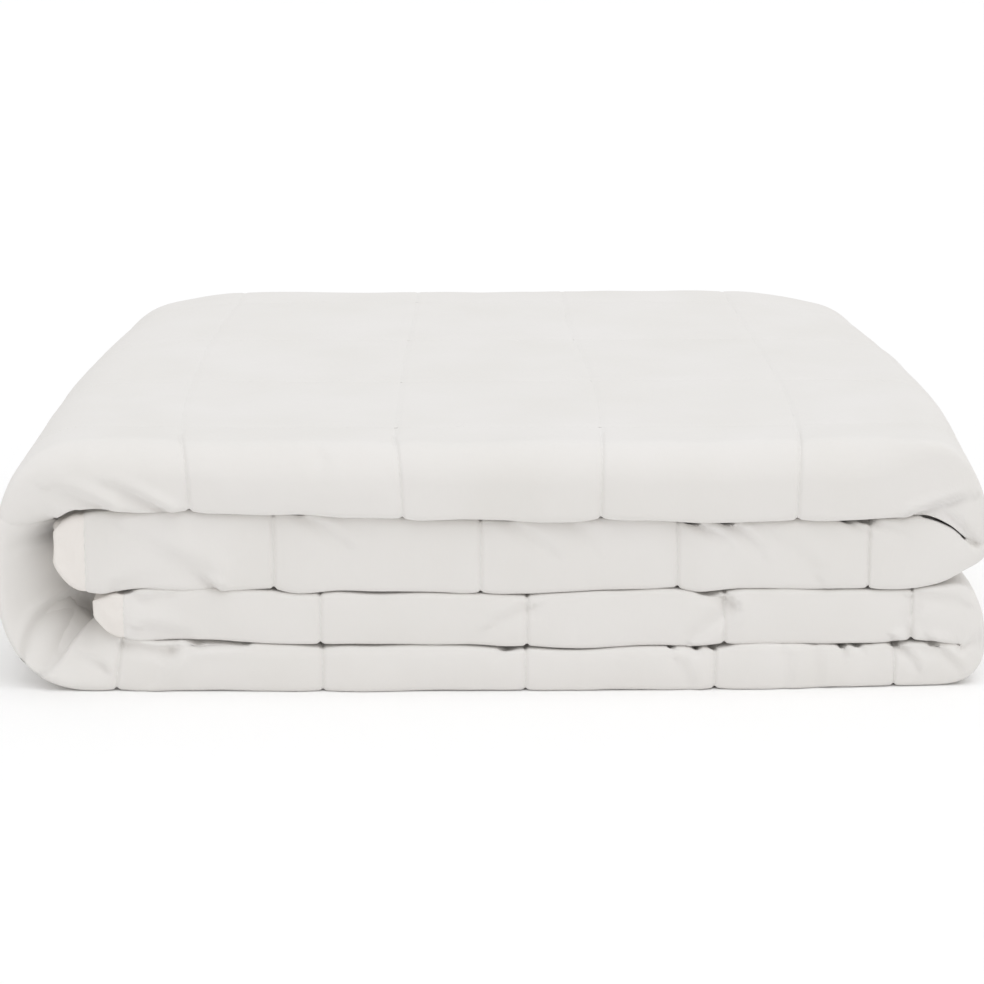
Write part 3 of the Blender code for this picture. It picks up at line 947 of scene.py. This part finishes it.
def woven_cotton():
    """Undyed cotton percale: matt, with a faint nap at grazing angles and a fine plain weave."""
    material, shader = new_material("woven cotton")
    links = material.node_tree.links
    place = node(material, "ShaderNodeUVMap", {"uv_map": "flat cloth"}).outputs["UV"]
    # threads lie 0.4 mm apart; drawn twice as coarse, or they would not show
    thread = 0.8 * MM
    waves = {"Scale": math.pi / 20 / thread, "Distortion": 1.2, "Detail": 1.0, "Detail Scale": 0.6}
    warp, weft = (
        node(material, "ShaderNodeTexWave", {**waves, "bands_direction": way}, Vector=place)
        for way in "XY"
    )
    weave = node(material, "ShaderNodeMath", {"operation": "MAXIMUM"})
    links.new(warp.outputs["Fac"], weave.inputs[0])
    links.new(weft.outputs["Fac"], weave.inputs[1])
    # crumple of thin cloth, about 7 mm across
    crumple = node(material, "ShaderNodeTexNoise",
                   {"Scale": 1 / (7 * MM), "Detail": 3.0, "Roughness": 0.5}, Vector=place)
    weave_bump = node(material, "ShaderNodeBump", {"Strength": 0.1, "Distance": 0.08 * MM},
                      Height=weave.outputs[0])
    bump = node(material, "ShaderNodeBump", {"Strength": 0.5, "Distance": 0.35 * MM},
                Height=crumple.outputs["Fac"], Normal=weave_bump.outputs["Normal"])
    links.new(bump.outputs["Normal"], shader.inputs["Normal"])
    # undyed cloth is never one even white: soft clouds some 60 mm across
    clouds = node(material, "ShaderNodeTexNoise", {"Scale": 1 / (60 * MM), "Detail": 2.0},
                  Vector=place)
    tint = node(material, "ShaderNodeValToRGB", Fac=clouds.outputs["Fac"])
    darker, lighter = tint.color_ramp.elements
    darker.position, darker.color = 0.3, linear(COTTON_SHADE)
    lighter.position, lighter.color = 0.7, linear(UNDYED_COTTON)
    # the doubled cloth of the end hems is drawn lighter and warmer than the rest: a painted
    # highlight for the light that falls on their faces
    along = node(material, "ShaderNodeSeparateXYZ", Vector=place).outputs["X"]
    half_length = SQUARE * SQUARES_LONG / 2
    from_middle = node(material, "ShaderNodeMath", {"operation": "SUBTRACT", 1: half_length})
    links.new(along, from_middle.inputs[0])
    to_end = node(material, "ShaderNodeMath", {"operation": "ABSOLUTE"})
    links.new(from_middle.outputs[0], to_end.inputs[0])
    in_hem = node(material, "ShaderNodeMath", {"operation": "GREATER_THAN", 1: half_length})
    links.new(to_end.outputs[0], in_hem.inputs[0])
    single, lit_hem, mixed = 6, 7, 2  # the mix node's colour sockets
    cloth = node(material, "ShaderNodeMix", {"data_type": "RGBA", lit_hem: linear(HEM_PAINTED_HIGHLIGHT)})
    links.new(in_hem.outputs[0], cloth.inputs["Factor"])
    links.new(tint.outputs["Color"], cloth.inputs[single])
    links.new(cloth.outputs[mixed], shader.inputs["Base Color"])
    shader.inputs["Roughness"].default_value = 0.88
    shader.inputs["IOR"].default_value = 1.45
    shader.inputs["Specular IOR Level"].default_value = 0.25
    shader.inputs["Sheen Weight"].default_value = 0.12
    shader.inputs["Sheen Roughness"].default_value = 0.5
    return material


def cotton_thread():
    """Spun cotton sewing thread, a little glossier than the cloth."""
    material, shader = new_material("spun cotton thread")
    shader.inputs["Base Color"].default_value = linear(THREAD_COLOUR)
    shader.inputs["Roughness"].default_value = 0.7
    shader.inputs["Sheen Weight"].default_value = 0.1
    return material


def painted_floor():
    """A matt white studio floor."""
    material, shader = new_material("matt white paint")
    shader.inputs["Base Color"].default_value = linear(FLOOR_WHITE)
    shader.inputs["Roughness"].default_value = 0.9
    shader.inputs["Specular IOR Level"].default_value = 0.1
    return material


# ---------------------------------------------------------------- the blanket


def dress_blanket():
    """Both covers and their sewing, in place of the plain solid."""
    cotton, thread = woven_cotton(), cotton_thread()
    columns, rows = outer_columns(), outer_rows()
    patches = outer_patches(columns, rows)
    outer = cloth_piece("outer_cover", columns, rows, patches, outer_cover_points, cotton)
    columns, rows = inner_columns(), inner_rows()
    inner = cloth_piece("inner_cover", columns, rows, whole(columns, rows), folded, cotton)
    sewing = stitches(thread)
    for piece in (outer, inner, sewing):
        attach(piece, "root")
    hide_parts("blanket")
    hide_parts("blanket")


# ---------------------------------------------------------------- studio


def soft_sun(name, azimuth, elevation, spread, strength):
    """Even light from a wide window: azimuth is from the camera's side towards +X, in degrees."""
    data = bpy.data.lights.new(name, "SUN")
    data.angle, data.energy = math.radians(spread), strength
    light = bpy.data.objects.new(name, data)
    light.rotation_euler = (math.radians(90 - elevation), 0, math.radians(azimuth))
    bpy.context.scene.collection.objects.link(light)


def studio():
    """A white floor and soft light from all round."""
    corners = [(x * FLOOR_HALF, y * FLOOR_HALF, 0) for x, y in ((-1, -1), (1, -1), (1, 1), (-1, 1))]
    floor = new_piece("floor", corners, [(0, 1, 2, 3)], painted_floor())
    world = bpy.data.worlds.new("white room")
    world.use_nodes = True
    sky = world.node_tree.nodes["Background"]
    sky.inputs["Strength"].default_value = ROOM_LIGHT
    # warm towards the walls, neutral overhead
    way = node(world, "ShaderNodeTexCoord").outputs["Generated"]
    up = node(world, "ShaderNodeSeparateXYZ", Vector=way).outputs["Z"]
    colours = node(world, "ShaderNodeValToRGB", Fac=up)
    low, high = colours.color_ramp.elements
    low.color = LOW_LIGHT
    high.position, high.color = HIGH_FROM, HIGH_LIGHT
    world.node_tree.links.new(colours.outputs["Color"], sky.inputs["Color"])
    bpy.context.scene.world = world
    soft_sun("ceiling window", azimuth=28, elevation=68, spread=60, strength=0.97)
    bpy.context.scene.view_settings.view_transform = "Standard"
    bpy.context.scene.view_settings.look = "None"


def camera():
    """Where the photograph was taken from: 2 m away and 15 degrees down, through a long lens."""
    data = bpy.data.cameras.new("camera")
    data.sensor_width, data.lens = 36, CAMERA_LENS
    data.clip_start, data.clip_end = 0.05, 60
    made = bpy.data.objects.new("camera", data)
    made.location = CAMERA_PLACE
    made.rotation_euler = (math.radians(90 - CAMERA_DOWN), 0, math.radians(CAMERA_TURN))
    bpy.context.scene.collection.objects.link(made)
    bpy.context.scene.camera = made


dress_blanket()
studio()
camera()
